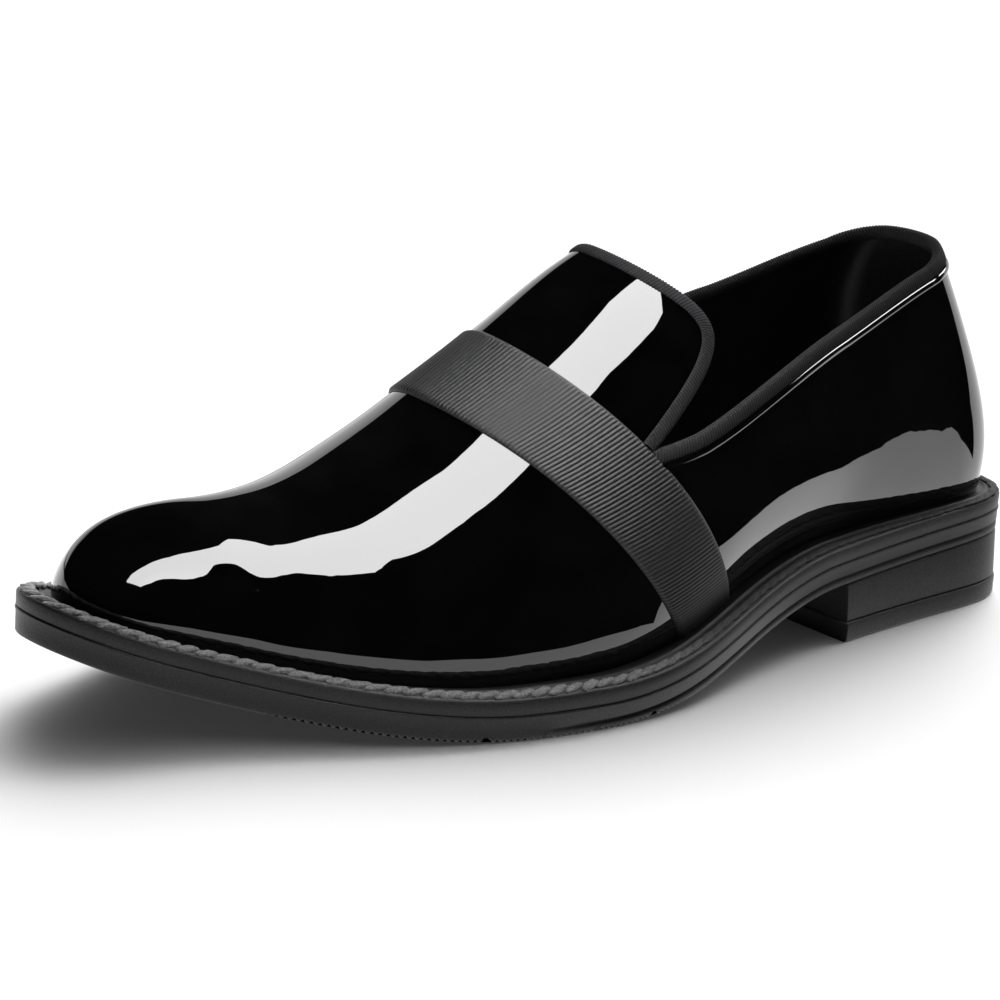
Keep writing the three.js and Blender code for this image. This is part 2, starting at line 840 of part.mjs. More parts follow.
const shoe = new THREE.Group();
shoe.name = 'tuxedo_loafer';
shoe.add(mesh('outsole', makeOutsole(), 0x2b2b2d, 0.6));
shoe.add(mesh('welt', makeWelt(), 0x333335, 0.6));
shoe.add(mesh('heel_block', makeHeelBlock(), 0x2b2b2d, 0.6));
shoe.add(mesh('heel_top_lift', makeTopLift(), 0x242426, 0.7));
shoe.add(mesh('insole', makeInsole(), 0x151516, 0.5));
shoe.add(mesh('upper', makeUpper(), 0x0a0a0b, 0.08));
shoe.add(mesh('strap', makeStrap(), 0x1d1d1f, 0.8));
shoe.add(mesh('collar_binding', makeCollarBinding(), 0x1a1a1b, 0.9));
shoe.add(mesh('tongue_binding', makeTongueBinding(), 0x1a1a1b, 0.9));
shoe.add(mesh('backstay', makeBackstay(), 0x0c0c0d, 0.3));

// The origin is on the floor under the middle of the shoe.
const outlineXs = stations(0, length, outlineSamples);
const lowestY = Math.min(...outlineXs.map((x) => centreY(x) - soleHalf(x)));
const highestY = Math.max(...outlineXs.map((x) => centreY(x) + soleHalf(x)));
shoe.position.set(-(length + partingLip - heelFlare) / 2, -(lowestY + highestY) / 2, 0);

export default shoe;
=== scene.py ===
import math
import random

import bpy
import numpy as np
from mathutils import Matrix, Vector


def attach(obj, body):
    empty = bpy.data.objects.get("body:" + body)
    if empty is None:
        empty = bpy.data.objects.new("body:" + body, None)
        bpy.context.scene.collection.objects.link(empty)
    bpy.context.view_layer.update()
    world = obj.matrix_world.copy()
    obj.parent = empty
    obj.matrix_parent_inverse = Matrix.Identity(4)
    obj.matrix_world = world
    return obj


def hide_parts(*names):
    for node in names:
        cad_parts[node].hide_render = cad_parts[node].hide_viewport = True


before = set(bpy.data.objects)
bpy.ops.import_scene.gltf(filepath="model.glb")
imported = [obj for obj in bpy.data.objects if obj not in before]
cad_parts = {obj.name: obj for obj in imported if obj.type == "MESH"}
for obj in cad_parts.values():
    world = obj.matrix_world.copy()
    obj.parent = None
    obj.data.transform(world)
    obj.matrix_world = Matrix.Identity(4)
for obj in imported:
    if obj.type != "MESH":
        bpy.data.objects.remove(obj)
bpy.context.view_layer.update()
print("frame loaded")

# Sizes of the shoe in millimetres: x from the heel's back to the toe, y to the outer side, z up.
shoe = {
    "length": 305.0,
    "ballWidth": 107.0,
    "instepHeight": 86.0,
    "collarHeight": 70.0,
    "toeSpring": 23.0,
    "wall": 1.8,
    "toeRoll": 36.0,         # the last part of the length, where the upper rolls down over the toe
    "toeRollPower": 2.4,
    "shift": (152.05, 2.822, 0.0),   # from the heel's back to the origin of the frame
}

sole = {
    "topLift": 5.6,
    "heelRise": 16.4,
    "heelSlope": 0.043,
    "heelBreast": 78.0,
    "heelFlare": 1.3,
    "outsole": 6.6,
    "rand": 2.3,
    "grooveDepth": 0.8,
    "grooveWidth": 1.0,
    "grooveEnd": 0.66,       # shares of the length: where the groove has run out, and over how much
    "grooveFade": 0.1,
    "chamfer": 0.7,
    "lip": 0.4,
    "welt": 4.3,
    "treadFrom": 180.0,
    "treadTo": 202.0,
    "waistEase": 1.06,
    "springEase": 1.85,
    "marginSide": 10.1,      # from the sole's edge to the upper
    "marginToe": 8.9,
    "marginHeel": 6.1,
    "toeMarginFrom": 0.66,   # shares of the length: where each end's margin starts, and its run
    "toeMarginRun": 0.26,
    "toeMarginEase": 1.5,
    "heelMarginFrom": 0.26,
    "heelMarginRun": 0.2,
    "heelRound": 36.0,
    "heelSquareness": 4.3,
    "collarSquareness": 2.2,
    "toeRound": 22.0,
    "toeSquareness": 2.08,
    "fit": 0.3,              # from the welt to the upper
}

# Share of the length, half width, shift of the centre line
planTable = np.array([
    (0.00, 0.643, -0.004), (0.12, 0.680, 0.000), (0.25, 0.711, 0.022), (0.38, 0.789, 0.056),
    (0.50, 0.940, 0.069), (0.60, 1.000, 0.041), (0.68, 0.992, 0.001), (0.78, 0.843, -0.047),
    (0.88, 0.596, -0.092), (1.00, 0.345, -0.108),
])

# Share of the length, height, bulge, low pull, crown pull, shoulder pull, ridge
sectionTable = np.array([
    (0.000, 1.000, 0.095, 0.315, 0.860, 0.757, 0.000),
    (0.118, 1.023, 0.113, 0.335, 0.886, 0.785, -0.002),
    (0.230, 1.052, 0.130, 0.360, 0.898, 0.836, -0.009),
    (0.328, 1.068, 0.138, 0.372, 0.840, 0.940, -0.026),
    (0.410, 1.064, 0.110, 0.368, 0.735, 1.000, -0.047),
    (0.492, 1.000, 0.074, 0.347, 0.645, 1.000, -0.064),
    (0.590, 0.820, 0.052, 0.334, 0.565, 1.000, -0.067),
    (0.689, 0.620, 0.043, 0.356, 0.510, 1.000, -0.066),
    (0.787, 0.457, 0.046, 0.360, 0.440, 1.000, -0.068),
    (0.885, 0.372, 0.053, 0.330, 0.360, 1.000, -0.072),
    (0.984, 0.300, 0.056, 0.310, 0.300, 1.000, -0.076),
])
leanTable = np.array([(0, 0), (0.2, 0.016), (0.4, 0.063), (0.6, 0.124), (0.8, 0.173), (1, 0.197)])
collarTable = np.array([(0.02, 1), (0.118, 0.95), (0.23, 0.842), (0.344, 0.765), (0.459, 0.715)])
tongueTable = np.array([
    (0, 0), (0.1, 0.56), (0.22, 0.88), (0.34, 0.9), (0.5, 0.76), (0.75, 0.56), (1, 0.5), (1.25, 0.56),
])
strapTable = np.array([(0, 0), (0.33, 0.44), (0.67, 0.84), (1, 1), (1.33, 0.84)])


def curve(table, column=1):
    at, value = table[:, 0].astype(float), table[:, column].astype(float)
    count = len(at)
    step = np.diff(at)
    system = np.eye(count)
    load = np.zeros(count)
    for i in range(1, count - 1):
        system[i, i - 1:i + 2] = step[i - 1], 2 * (step[i - 1] + step[i]), step[i]
        load[i] = 6 * ((value[i + 1] - value[i]) / step[i] - (value[i] - value[i - 1]) / step[i - 1])
    bend = np.linalg.solve(system, load)

    def read(x):
        i = np.clip(np.searchsorted(at, x) - 1, 0, count - 2)
        far = np.clip((x - at[i]) / step[i], 0, 1)
        near = 1 - far
        sag = ((near ** 3 - near) * bend[i] + (far ** 3 - far) * bend[i + 1]) * step[i] ** 2 / 6
        return near * value[i] + far * value[i + 1] + sag
    return read


def smooth(x):
    return x * x * (3 - 2 * x)


def mix(a, b, share):
    return a + (b - a) * share


def bezier(a, b, c, d, t):
    s = 1 - t
    return s ** 3 * a + 3 * s * s * t * b + 3 * s * t * t * c + t ** 3 * d


planHalf, planShift = curve(planTable, 1), curve(planTable, 2)
height, bulge, lowPull, crown, shoulder, ridgeShift = [curve(sectionTable, i) for i in range(1, 7)]
lean, collarCurve = curve(leanTable), curve(collarTable)
tongueCurve, strapCurve = curve(tongueTable), curve(strapTable)


def centreY(x):
    return shoe["ballWidth"] * planShift(x / shoe["length"])


def fullHalf(x):
    return shoe["ballWidth"] / 2 * planHalf(x / shoe["length"])


def roundEnds(x, back, front, backRound, frontRound):
    q = np.clip((back + backRound - x) / backRound, 0, 1)
    p = np.clip((x - front + frontRound) / frontRound, 0, 1)
    heel = (1 - q ** sole["heelSquareness"]) ** (1 / sole["heelSquareness"])
    return heel * (1 - p ** sole["toeSquareness"]) ** (1 / sole["toeSquareness"])


def soleBottom(x):
    x = np.asarray(x, float)
    seat = sole["heelRise"] + (sole["heelBreast"] - x) * sole["heelSlope"]
    share = np.clip((sole["treadFrom"] - x) / (sole["treadFrom"] - sole["heelBreast"]), 0, 1)
    waist = sole["heelRise"] * smooth(share ** sole["waistEase"])
    spring = np.clip((x - sole["treadTo"]) / (shoe["length"] - sole["treadTo"]), 0, None) ** sole["springEase"]
    return np.where(x < sole["heelBreast"], seat, waist) + shoe["toeSpring"] * spring


def weltTop(x):
    return soleBottom(x) + sole["outsole"] + sole["welt"]


def margin(x):
    at = x / shoe["length"]
    toe = np.clip((at - sole["toeMarginFrom"]) / sole["toeMarginRun"], 0, 1) ** sole["toeMarginEase"]
    heel = smooth(np.clip((sole["heelMarginFrom"] - at) / sole["heelMarginRun"], 0, 1))
    side = sole["marginSide"]
    return side + (sole["marginToe"] - side) * toe + (sole["marginHeel"] - side) * heel


def soleHalf(x):
    return fullHalf(x) * roundEnds(x, 0, shoe["length"], sole["heelRound"], sole["toeRound"])


toeEnd = shoe["length"] - sole["marginToe"]
pivot = sole["heelRound"]


def seatHalf(x, inset=0.0):
    back = sole["marginHeel"] + inset
    toe = sole["toeRound"] - sole["marginToe"] - inset / 2
    ends = roundEnds(x, back, toeEnd - inset, pivot - back, toe)
    return ends * (fullHalf(x) - margin(x) - inset)


# One side of the upper at x, with t from 0 at its foot to 1 at the ridge
def sideSkin(side, x, t):
    at = x / shoe["length"]
    toward = np.clip((toeEnd - x) / shoe["toeRoll"], 0, 1)
    roll = (1 - (1 - toward) ** shoe["toeRollPower"]) ** (1 / shoe["toeRollPower"])
    ridge = mix(centreY(toeEnd), shoe["ballWidth"] * ridgeShift(at), smooth(toward))
    rise = shoe["instepHeight"] * height(at) * roll
    half = seatHalf(x) + side * (centreY(x) - ridge)
    y = bezier(half, half * (1 + 3 * bulge(at)), half * crown(at), 0, t)
    z = bezier(0, rise * lowPull(at), rise * shoulder(at), rise, t)
    return np.stack(np.broadcast_arrays(x, ridge + side * y, weltTop(x) + sole["fit"] + z), -1)


# The upper's outside. In front of the heel's round u is millimetres from it, and round the heel it
# runs from -1 at the back line to 0 at the flank.
def skin(side, u, t):
    u, t = np.broadcast_arrays(np.asarray(u, float), np.asarray(t, float))
    flank = sideSkin(side, pivot + np.maximum(u, 0), t)
    rise = flank[..., 2] - weltTop(pivot) - sole["fit"]
    share = np.clip(rise / shoe["collarHeight"], 0, 1)
    power = mix(sole["heelSquareness"], sole["collarSquareness"], share)
    angle = np.clip(-u, 0, 1) * math.pi / 2
    ca, sa = np.maximum(np.cos(angle), 0), np.sin(angle)
    reach = (ca ** power + sa ** power) ** (-1 / power)
    back = sole["marginHeel"] + shoe["collarHeight"] * lean(share)
    middle = shoe["ballWidth"] * ridgeShift(pivot / shoe["length"])
    x = pivot - (pivot - back) * sa * reach
    y = middle + (flank[..., 1] - middle) * ca * reach
    heel = np.stack([x, y, flank[..., 2] + sole["heelSlope"] * (pivot - x)], -1)
    return np.where((u < 0)[..., None], heel, flank)


def levelAt(side, u, rise):
    u, rise = np.broadcast_arrays(np.asarray(u, float), np.asarray(rise, float))
    foot = skin(side, u, 0.0)[..., 2]
    low, high = np.zeros(u.shape), np.ones(u.shape)
    for _ in range(30):
        middle = (low + high) / 2
        under = skin(side, u, middle)[..., 2] - foot < rise
        low, high = np.where(under, middle, low), np.where(under, high, middle)
    return (low + high) / 2


def skinNormal(side, u, t):
    du = np.where(np.asarray(u) < 0, 0.01, 0.4)
    along = skin(side, u + du, t) - skin(side, np.maximum(u - du, -1), t)
    up = skin(side, u, np.minimum(t + 0.004, 1)) - skin(side, u, np.maximum(t - 0.004, 0))
    normal = np.cross(up, along) * side
    return normal / np.maximum(np.linalg.norm(normal, axis=-1, keepdims=True), 1e-9)


edge = {
    "notchAt": 154.5,        # the V where collar and tongue meet
    "tongueReach": 30.0,
}


def collarRise(x):
    return shoe["collarHeight"] * collarCurve(x / shoe["length"])


notchU = edge["notchAt"] - pivot
notchT = float(levelAt(1, notchU, collarRise(edge["notchAt"])))


def collarT(side, u):
    return levelAt(side, u, collarRise(skin(side, u, 0.0)[..., 0]))


def tongueEdge(s):
    return edge["notchAt"] - pivot - edge["tongueReach"] * tongueCurve(s), mix(notchT, 1, s)


# Meshes from grids of points
weldCells = 500              # points in the same cell, so many to a millimetre, become one


def weld(patches):
    points, faces, start = [], [], 0
    for grid in patches:
        rows, columns = grid.shape[:2]
        index = np.arange(rows * columns).reshape(rows, columns) + start
        points.append(grid.reshape(-1, 3))
        corners = [index[:-1, :-1], index[1:, :-1], index[1:, 1:], index[:-1, 1:]]
        faces.append(np.stack(corners, -1).reshape(-1, 4))
        start += rows * columns
    points, faces = np.concatenate(points), np.concatenate(faces)
    cells = np.round(points * weldCells).astype(np.int64)
    _, first, again = np.unique(cells, axis=0, return_index=True, return_inverse=True)
    return points[first], again.reshape(-1)[faces], first


def pointNormals(points, faces):
    cross = np.cross(points[faces[:, 2]] - points[faces[:, 0]], points[faces[:, 3]] - points[faces[:, 1]])
    normals = np.zeros_like(points)
    for i in range(4):
        np.add.at(normals, faces[:, i], cross)
    return normals / np.maximum(np.linalg.norm(normals, axis=1, keepdims=True), 1e-12)


def rimFaces(faces, offset):
    sides = np.concatenate([faces[:, [i, (i + 1) % 4]] for i in range(4)])
    sides = sides[sides[:, 0] != sides[:, 1]]
    known = set(map(tuple, sides.tolist()))
    rim = [(b, a, a + offset, b + offset) for a, b in known if (b, a) not in known]
    return np.array(rim, int).reshape(-1, 4)


def signedVolume(corners, faces):
    fans = np.array([(face[0], face[i], face[i + 1]) for face in faces for i in range(1, len(face) - 1)])
    a, b, c = (corners - corners.mean(0))[fans].transpose(1, 0, 2)
    return np.sum(a * np.cross(b, c))


# Faces come out turned outward. The crest attribute is painted light for the materials: 1 on the tops of ribs
# as a painted highlight, and on the rope lower towards the heel as painted shade.
def buildMesh(name, points, faces, material, crest=None):
    whole = []
    for face in np.asarray(faces).tolist():
        kept = [v for i, v in enumerate(face) if v != face[i - 1]]
        if len(set(kept)) == len(kept) and len(kept) > 2:
            whole.append(kept)
    mesh = bpy.data.meshes.new(name)
    corners = (np.asarray(points) - np.array(shoe["shift"])) * 0.001
    mesh.from_pydata(corners.tolist(), [], whole)
    mesh.validate()
    mesh.polygons.foreach_set("use_smooth", [True] * len(mesh.polygons))
    if crest is not None:
        layer = mesh.attributes.new("crest", "FLOAT", "POINT")
        layer.data.foreach_set("value", np.asarray(crest, np.float32))
    mesh.update()
    if signedVolume(corners, whole) < 0:
        mesh.flip_normals()
    piece = bpy.data.objects.new(name, mesh)
    bpy.context.scene.collection.objects.link(piece)
    mesh.materials.append(material)
    return piece


def fitPiece(piece, slotName, *nodes):
    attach(piece, "root")
    if nodes:
        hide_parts(*nodes)
    return piece


# Materials

def newMaterial(name, color, roughness):
    material = bpy.data.materials.new(name)
    material.use_nodes = True
    shader = material.node_tree.nodes["Principled BSDF"]
    shader.inputs["Base Color"].default_value = (*color, 1)
    shader.inputs["Roughness"].default_value = roughness
    return material, shader


def addNode(material, kind, **values):
    node = material.node_tree.nodes.new(kind)
    for key, value in values.items():
        if key in node.inputs:
            node.inputs[key].default_value = value
        else:
            setattr(node, key, value)
    return node


def link(material, source, target):
    material.node_tree.links.new(source, target)


def grain(material, shader, look):
    spot = addNode(material, "ShaderNodeTexCoord")
    noise = addNode(material, "ShaderNodeTexNoise", Scale=look["grain"], Detail=look["detail"])
    link(material, spot.outputs["Object"], noise.inputs["Vector"])
    bump = addNode(material, "ShaderNodeBump", Strength=look["depth"], Distance=look["reach"])
    link(material, noise.outputs["Fac"], bump.inputs["Height"])
    link(material, bump.outputs["Normal"], shader.inputs["Normal"])
    return noise.outputs["Fac"], bump.outputs["Normal"]


def tint(material, shader, source, look):
    ramp = addNode(material, "ShaderNodeValToRGB")
    for element, position, color in zip(ramp.color_ramp.elements, look["span"], (look["dark"], look["light"])):
        element.position = position
        element.color = (*color, 1)
    link(material, source, ramp.inputs["Fac"])
    link(material, ramp.outputs["Color"], shader.inputs["Base Color"])


# Reads the crest attribute, the painted light on ribs and rope
def paintedLightOf(material):
    return addNode(material, "ShaderNodeAttribute", attribute_name="crest").outputs["Fac"]


# Grain is the noise's scale to a metre, depth and reach are its bump. The color runs from dark to light
# over the span of the grain, or of the crest attribute: painted highlight on the ribs' crests, painted shade
# between them.
finish = {
    "patent": {"roughness": 0.3, "specular": 0.0, "coat": 0.006, "grain": 90, "detail": 2, "depth": 0.014,
               "reach": 0.002, "dark": (0.003, 0.003, 0.0034), "light": (0.005, 0.005, 0.0055),
               "span": (0.35, 0.65)},
    "lining": {"roughness": 0.32, "specular": 0.5, "grain": 900, "detail": 6, "depth": 0.12, "reach": 0.0006,
               "dark": (0.009, 0.009, 0.01), "light": (0.017, 0.017, 0.018), "span": (0.35, 0.65)},
    "rubber": {"roughness": 0.5, "specular": 0.15, "grain": 2200, "detail": 5, "depth": 0.35, "reach": 0.0003,
               "dark": (0.014, 0.014, 0.0145), "light": (0.027, 0.027, 0.028), "span": (0.35, 0.65)},
    # rope: the colour runs over its grain times a painted shade that darkens the lumps towards the heel
    "rope": {"roughness": 0.7, "specular": 0.2, "grain": 1500, "detail": 6, "depth": 0.8, "reach": 0.0005,
             "dark": (0.02, 0.02, 0.0205), "light": (0.3, 0.3, 0.302), "span": (0.1, 0.65)},
    # grosgrain: painted highlight, light on the rib crests and dark in the grooves, from the crest attribute
    "grosgrain": {"roughness": 0.5, "specular": 0.3, "grain": 3500, "detail": 3, "depth": 0.5, "reach": 0.0003,
                  "dark": (0.002, 0.002, 0.002), "light": (0.024, 0.024, 0.025), "span": (0.5, 1.0)},
    # knit: painted highlight, light on the rib crests and dark between them, from the crest attribute
    "knit": {"roughness": 0.75, "specular": 0.15, "grain": 3000, "detail": 3, "depth": 0.6, "reach": 0.0003,
             "dark": (0.005, 0.005, 0.006), "light": (0.03, 0.03, 0.032), "span": (0.2, 1.0)},
}


def grained(name, look):
    material, shader = newMaterial(name, look["dark"], look["roughness"])
    shader.inputs["Specular IOR Level"].default_value = look["specular"]
    noise, bent = grain(material, shader, look)
    return material, shader, noise, bent


patent, shader, noise, bent = grained("patentLeather", finish["patent"])
shader.inputs["Coat Weight"].default_value = 1
shader.inputs["Coat Roughness"].default_value = finish["patent"]["coat"]
link(patent, bent, shader.inputs["Coat Normal"])
tint(patent, shader, noise, finish["patent"])

liningLeather, shader, noise, _ = grained("liningLeather", finish["lining"])
tint(liningLeather, shader, noise, finish["lining"])

rubber, shader, noise, _ = grained("soleRubber", finish["rubber"])
tint(rubber, shader, noise, finish["rubber"])

ropeRubber, shader, noise, _ = grained("ropeRubber", finish["rope"])
# The grain is multiplied by the crest attribute, here a painted shade darker towards the heel
shadedNoise = addNode(ropeRubber, "ShaderNodeMath", operation="MULTIPLY")
link(ropeRubber, noise, shadedNoise.inputs[0])
link(ropeRubber, paintedLightOf(ropeRubber), shadedNoise.inputs[1])
tint(ropeRubber, shader, shadedNoise.outputs["Value"], finish["rope"])

# The strap's colour follows the rib crests: painted highlight on them, painted shade in the grooves
grosgrain, shader, _, _ = grained("grosgrain", finish["grosgrain"])
tint(grosgrain, shader, paintedLightOf(grosgrain), finish["grosgrain"])

# The binding's colour follows the rib crests: painted highlight on them, painted shade between
knit, shader, _, _ = grained("knitBinding", finish["knit"])
tint(knit, shader, paintedLightOf(knit), finish["knit"])
print("materials ready")

# Upper and lining

upperLook = {
    "rearColumns": 110,
    "heelColumns": 34,
    "vampColumns": 130,
    "lowRows": 44,
    "highRows": 56,
    "tongueColumns": 34,
    "highEase": 1.35,        # rows over the notch lie closer together near it
    "middle": 0.9,           # depth where the outer leather ends and the lining starts
    "overlap": 0.02,
    "seat": 0.05,            # from the welt to the foot of the upper
    "ripple": 0.05,          # slow waves in the leather's surface, from the foot and from the waist on
    "rippleRise": 12.0,
    "rippleFrom": 110.0,
    "rippleRun": 40.0,
}


def upperPatches(side):
    look = upperLook
    low = np.arange(look["lowRows"] + 1) / look["lowRows"]
    high = (np.arange(look["highRows"] + 1) / look["highRows"]) ** look["highEase"]
    heel = np.linspace(-1, 0, look["heelColumns"], endpoint=False)
    flank = np.linspace(0, 1, look["rearColumns"] - look["heelColumns"] + 1) * notchU
    rearU = np.concatenate([heel, flank])
    top = collarT(side, rearU)
    top[-1] = notchT
    rear = skin(side, rearU[:, None], top[:, None] * low[None, :])
    share = np.sin(np.linspace(0, math.pi / 2, look["vampColumns"] + 1))
    vampU = mix(notchU, toeEnd - pivot, share)
    levels = np.concatenate([notchT * low, mix(notchT, 1, high)[1:]])
    vamp = skin(side, vampU[:, None], levels[None, :])
    edgeU, edgeT = tongueEdge(high)
    across = np.linspace(0, 1, look["tongueColumns"] + 1)
    tongue = skin(side, mix(edgeU[None, :], notchU, across[:, None]), edgeT[None, :] + 0 * across[:, None])
    parts = [rear, vamp, tongue]
    return parts if side > 0 else [part[::-1] for part in parts]


def ripple(points):
    look = upperLook
    x, y, z = points.T / 10
    waves = np.sin(1.7 * x + 0.9 * z + 1.3) * np.sin(1.1 * y - 1.3 * z + 0.4)
    waves += 0.6 * np.sin(2.9 * x - 2.1 * y + 1.9 * z)
    rise = smooth(np.clip(footHeight / look["rippleRise"], 0, 1))
    forward = smooth(np.clip((points[:, 0] - look["rippleFrom"]) / look["rippleRun"], 0, 1))
    return look["ripple"] * waves * rise * forward


points, faces, _ = weld(upperPatches(1) + upperPatches(-1))
heart = np.array([0.45 * shoe["length"], 0, shoe["collarHeight"] / 2])
normals = pointNormals(points, faces)
if np.sum(normals * (points - heart)) < 0:
    faces = faces[:, ::-1]
    normals = -normals
footHeight = points[:, 2] - weltTop(points[:, 0]) - sole["fit"]


def sunk(moved):
    low = weltTop(moved[:, 0]) + upperLook["seat"]
    moved[:, 2] = np.where((footHeight < 0.01) | (moved[:, 2] < low), low, moved[:, 2])
    return moved


outerSkin = sunk(points + normals * ripple(points)[:, None])
middleSkin = sunk(points - normals * upperLook["middle"])
innerSkin = sunk(points - normals * shoe["wall"])
count = len(points)
closed = np.concatenate([faces, faces[:, ::-1] + count, rimFaces(faces, count)])
upper = buildMesh("upperShell", np.concatenate([outerSkin, middleSkin]), closed, patent)
fitPiece(upper, "patent_leather", "upper")
liningOuter = middleSkin - normals * upperLook["overlap"]
lining = buildMesh("lining", np.concatenate([liningOuter, innerSkin]), closed, liningLeather)
fitPiece(lining, "insole_leather", "upper")
print("upper ready")

# Sole unit

soleLook = {
    "stations": 1100,
    "samples": 6001,
    "lip": 0.2,
    "toothPitch": 1.8,       # teeth and notches in the lower edge of the outsole
    "toothDepth": 0.9,
    "teethFrom": 150.0,
    "teethTo": 264.0,
    "teethFade": 8.0,
    "notches": (213.5, 198.0, 183.0, 164.5),
    "notchWidth": 1.6,
    "notchDepth": 1.3,
    # the welt's top from its edge to the upper: share of the margin, rise over the welt
    "bead": [(0.12, 0), (0.17, 0.1), (0.2, 0.25), (0.46, 0.25), (0.52, 0.05), (0.58, 0.05), (0.62, 0.35),
             (0.66, 0.5), (0.7, 0.35), (0.74, 0.05), (0.9, 0)],
}


def runOf(line):
    return np.concatenate([[0], np.cumsum(np.linalg.norm(np.diff(line, axis=0), axis=1))])


def evenLine(line, even):
    run = runOf(line)
    return np.stack([np.interp(even, run, column) for column in line.T], -1)


def halfOutline(side, half, back, front, count):
    xs = mix(back, front, (1 - np.cos(np.linspace(0, math.pi, soleLook["samples"]))) / 2)
    line = np.stack([xs, centreY(xs) + side * np.maximum(half(xs), 0)], -1)
    return evenLine(line, np.linspace(0, runOf(line)[-1], count + 1))


def ringOf(half, back, front, count):
    outer = halfOutline(1, half, back, front, count)
    inner = halfOutline(-1, half, back, front, count)
    return np.concatenate([outer, inner[-2:0:-1]])


def inwardOf(ring):
    along = np.roll(ring, -1, 0) - np.roll(ring, 1, 0)
    along /= np.linalg.norm(along, axis=1, keepdims=True)
    return np.stack([along[:, 1], -along[:, 0]], -1)


soleRim = ringOf(soleHalf, 0, shoe["length"], soleLook["stations"])
soleInward = inwardOf(soleRim)


# A row of points round the sole, each inset by its own depth, or all by the same one
def rimRow(inset, level):
    depth = inset(soleRim[:, 0])[:, None] if callable(inset) else inset
    spot = soleRim + soleInward * depth
    return np.column_stack([spot, level(spot[:, 0])])


def sweepRows(rows):
    grid = np.stack(rows)
    return np.concatenate([grid, grid[:, :1]], 1)


# Closes a ring from side to side; the heel's ring is odd and the others are even
def capGrid(row, level, columns):
    half = len(row) // 2
    outer = row[:half + 1]
    inner = np.concatenate([row[:1], row[:len(row) - half - 1:-1]])
    share = np.linspace(0, 1, columns + 1)[None, :, None]
    grid = outer[:, None, :] * (1 - share) + inner[:, None, :] * share
    grid[..., 2] = level(grid[..., 0])
    return grid


def ringPiece(name, material, slotName, node, rows, low, high, columns=8):
    patches = [sweepRows(rows), capGrid(rows[0], low, columns), capGrid(rows[-1], high, columns)[::-1]]
    points, faces, _ = weld(patches)
    piece = buildMesh(name, points, faces, material)
    return fitPiece(piece, slotName, node)


def groove(x):
    share = (sole["grooveEnd"] - x / shoe["length"]) / sole["grooveFade"]
    return sole["grooveDepth"] * smooth(np.clip(share, 0, 1))


def above(rise):
    return lambda x: soleBottom(x) + rise


def weltLevel(rise):
    return lambda x: soleBottom(x) + sole["outsole"] + rise


def marginShare(part):
    return lambda x: margin(x) * part


def treadCut(x):
    look = soleLook
    start = np.clip((x - look["teethFrom"]) / look["teethFade"], 0, 1)
    fade = start * np.clip((look["teethTo"] - x) / look["teethFade"], 0, 1)
    tooth = look["toothDepth"] * fade * smooth(np.abs((x / look["toothPitch"]) % 1 * 2 - 1))
    for notch in look["notches"]:
        tooth = np.maximum(tooth, look["notchDepth"] * (np.abs(x - notch) < look["notchWidth"] / 2))
    return tooth


def cutAbove(rise):
    return lambda x: soleBottom(x) + np.maximum(rise, treadCut(x))


chamfer, lip, outsole = sole["chamfer"], soleLook["lip"], sole["outsole"]
rand, halfGroove = sole["rand"], sole["grooveWidth"] / 2
# From the tread up: inset from the sole's edge, rise over its underside
outsoleProfile = [
    (chamfer, 0), (chamfer * 0.3, chamfer * 0.12), (0, chamfer * 0.6), (0, rand / 2 + 0.05),
    (0, rand - halfGroove), (groove, rand - halfGroove * 0.7), (groove, rand + halfGroove * 0.7),
    (0, rand + halfGroove), (0, outsole - 5 * lip), (-lip * 0.8, outsole - 3.6 * lip),
    (-lip, outsole - 2.5 * lip), (-lip * 0.8, outsole - 1.4 * lip), (0.15, outsole - 0.4 * lip),
    (0.5, outsole), (2, outsole),
]
rows = [rimRow(inset, (cutAbove if rise < rand / 2 else above)(rise)) for inset, rise in outsoleProfile]
ringPiece("outsoleBody", rubber, "sole_rubber", "outsole", rows, above(0), above(outsole))

# From the outsole up: inset, rise over the outsole
welt = sole["welt"]
weltProfile = [(0.3, 0.02), (0, 0.3), (0, welt - 1), (chamfer * 0.35, welt - 0.35), (chamfer, welt)]
rows = [rimRow(inset, weltLevel(rise)) for inset, rise in weltProfile]
rows += [rimRow(marginShare(part), weltLevel(welt + rise)) for part, rise in soleLook["bead"]]
ringPiece("weltBody", rubber, "welt_rubber", "welt", rows, weltLevel(0.02), weltLevel(welt))

# Heel
heelLook = {
    "stations": 220,
    "samples": 4001,
    "seat": 0.05,            # gap over the top lift and over the block
    "blockFlare": 0.7,       # share of the flare where the block starts
    "columns": 6,
}
heelBreast = sole["heelBreast"]


def heelRow(outset, level):
    count = heelLook["stations"]
    lines = []
    for side in (1, -1):
        xs = heelBreast * (1 - np.cos(np.linspace(0, math.pi / 2, heelLook["samples"])))
        line = np.stack([xs, centreY(xs) + side * soleHalf(xs)], -1)
        lines.append(evenLine(line, np.linspace(0, runOf(line)[-1], count + 1)))
    ring = np.concatenate([lines[0], lines[1][:0:-1]])
    spot = ring - inwardOf(ring) * outset
    for i, side in ((count, 1), (count + 1, -1)):
        spot[i] = heelBreast, centreY(heelBreast) + side * (soleHalf(heelBreast) + outset)
    return np.column_stack([spot, level(spot[:, 0])])


def flat(rise):
    return lambda x: np.full(np.shape(x), float(rise))


flare, liftTop = sole["heelFlare"], sole["topLift"]
liftEnd, seatBelow = liftTop - heelLook["seat"], above(-heelLook["seat"])
# From the floor up: outset from the sole's edge, level
liftProfile = [(flare - chamfer, 0), (flare - 0.2, 0.25), (flare, chamfer), (flare, liftTop - 0.7),
               (flare - 0.15, liftTop - 0.3), (flare - 0.5, liftEnd)]
rows = [heelRow(outset, flat(level)) for outset, level in liftProfile]
heelColumns = heelLook["columns"]
ringPiece("heelTopLift", rubber, "sole_rubber", "heel_top_lift", rows, flat(0), flat(liftEnd), heelColumns)

